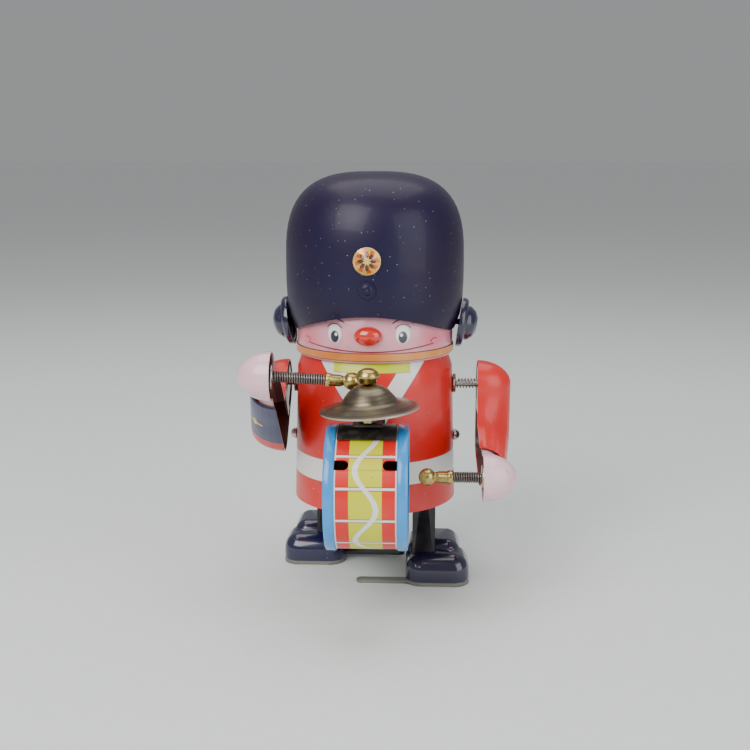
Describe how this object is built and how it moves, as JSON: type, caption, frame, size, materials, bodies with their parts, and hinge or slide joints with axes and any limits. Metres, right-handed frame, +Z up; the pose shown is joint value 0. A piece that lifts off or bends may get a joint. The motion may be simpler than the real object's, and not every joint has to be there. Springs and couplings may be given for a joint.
{
  "type": "wind-up drummer figure",
  "caption": "Wind-up tin drummer in a tall domed guard's hat, with a side-facing drum, a domed cymbal, two ball-ended sticks, stepping feet and a back key.",
  "frame": {"origin": "on the floor, under the middle of the bounding box", "axes": "+Z up, the drum and face point to -Y, the back key to +Y, the figure's left hand to +X"},
  "size_m": [0.079, 0.1028, 0.1246],
  "materials": {
    "coat_red": "gloss litho print with white belt and lapels",
    "collar_yellow": "gloss",
    "face_pink": "gloss litho print of a doll face",
    "strap_orange": "gloss",
    "nose_red": "high gloss",
    "navy": "gloss enamel with fine specks",
    "badge_gold": "printed star rosette",
    "drum_print": "gloss litho bands in red, yellow and white",
    "hoop_blue": "gloss",
    "drum_skin": "satin",
    "dark_steel": "satin",
    "steel": "bright, lightly tarnished",
    "coil_steel": "close-wound coil",
    "spring_steel": "blued",
    "brass": "polished, aged",
    "plate_steel": "yellow passivated",
    "cymbal_bronze": "tarnished and brushed",
    "hand_pink": "gloss",
    "leg_black": "satin",
    "shoe_navy": "gloss enamel"
  },
  "bodies": {
    "figure": {"coat_shell": "coat_red", "collar_deck": "collar_yellow", "base_plate": "dark_steel", "face_shell": "face_pink", "chin_strap": "strap_orange", "nose_button": "nose_red", "hat_shell": "navy", "hat_badge": "badge_gold", "hat_rivet": "navy", "right_ear": "navy", "left_ear": "navy", "ear_rivets": "steel", "drum_shell": "drum_print", "right_drum_hoop": "hoop_blue", "left_drum_hoop": "hoop_blue", "right_drum_head": "drum_skin", "left_drum_head": "drum_skin", "drum_bracket": "dark_steel", "cymbal_saddle": "dark_steel", "drum_rivets": "steel", "cymbal_post": "brass", "cymbal_lower_nut": "brass", "cymbal_cap_nut": "brass", "motor_front_plate": "plate_steel", "motor_back_plate": "plate_steel", "motor_cheeks": "plate_steel", "motor_pillars": "steel", "frame_bridge": "plate_steel", "side_screws": "steel", "shoulder_bushes": "brass", "key_bush": "brass", "leg_guides": "steel", "mainspring": "spring_steel", "left_return_spring": "steel"},
    "key": {"key_grip": "steel", "key_arbor": "steel", "crown_wheel": "brass"},
    "crank": {"crank_shaft": "steel", "crank_pinion": "brass", "drive_wheel": "brass", "crank_discs": "steel"},
    "governor": {"governor_shaft": "steel", "flywheel": "brass"},
    "right_arm": {"right_shoulder_shaft": "steel", "right_arm_lug": "steel", "right_sleeve": "coat_red", "right_hand": "hand_pink", "right_stick_rod": "coil_steel", "right_stick_ball": "brass"},
    "left_arm": {"left_shoulder_shaft": "steel", "left_arm_lug": "steel", "left_sleeve": "coat_red", "left_hand": "hand_pink", "left_stick_rod": "coil_steel", "left_stick_ball": "brass"},
    "right_foot": {"right_leg": "leg_black", "right_shoe": "shoe_navy"},
    "left_foot": {"left_leg": "leg_black", "left_shoe": "shoe_navy"},
    "cymbal": {"cymbal": "cymbal_bronze"}
  },
  "joints": [
    {"name": "key_turn", "type": "hinge", "parent": "figure", "child": "key", "pos_m": [-0.0025, 0.04, 0.0436], "axis": [0, 1, 0], "continuous": true},
    {"name": "crank_turn", "type": "hinge", "parent": "figure", "child": "crank", "pos_m": [-0.0025, 0.0102, 0.0436], "axis": [1, 0, 0], "continuous": true},
    {"name": "governor_turn", "type": "hinge", "parent": "figure", "child": "governor", "pos_m": [-0.0025, 0.0018, 0.0436], "axis": [1, 0, 0], "continuous": true},
    {"name": "right_arm_swing", "type": "hinge", "parent": "figure", "child": "right_arm", "pos_m": [-0.0291, 0.01, 0.06], "axis": [1, 0, 0], "range_deg": [-22, 2.5]},
    {"name": "left_arm_beat", "type": "slide", "parent": "figure", "child": "left_arm", "axis": [-1, 0, 0], "range_m": [0, 0.003], "stiffness_N_per_m": 60, "deforming": ["left_return_spring"]},
    {"name": "left_foot_step", "type": "slide", "parent": "figure", "child": "left_foot", "axis": [0, 1, 0], "range_m": [0, 0.0174]},
    {"name": "right_foot_step", "type": "slide", "parent": "figure", "child": "right_foot", "axis": [0, 1, 0], "range_m": [-0.0174, 0]},
    {"name": "cymbal_spin", "type": "hinge", "parent": "figure", "child": "cymbal", "pos_m": [-0.0025, -0.034, 0.0683], "axis": [-0.0698, 0, 0.9976], "continuous": true}
  ],
  "couplings": [
    {"joint": "crank_turn", "follows": "key_turn", "ratio": -2.5},
    {"joint": "governor_turn", "follows": "key_turn", "ratio": 6.25},
    {"joint": "right_foot_step", "follows": "left_foot_step", "ratio": -1}
  ]
}
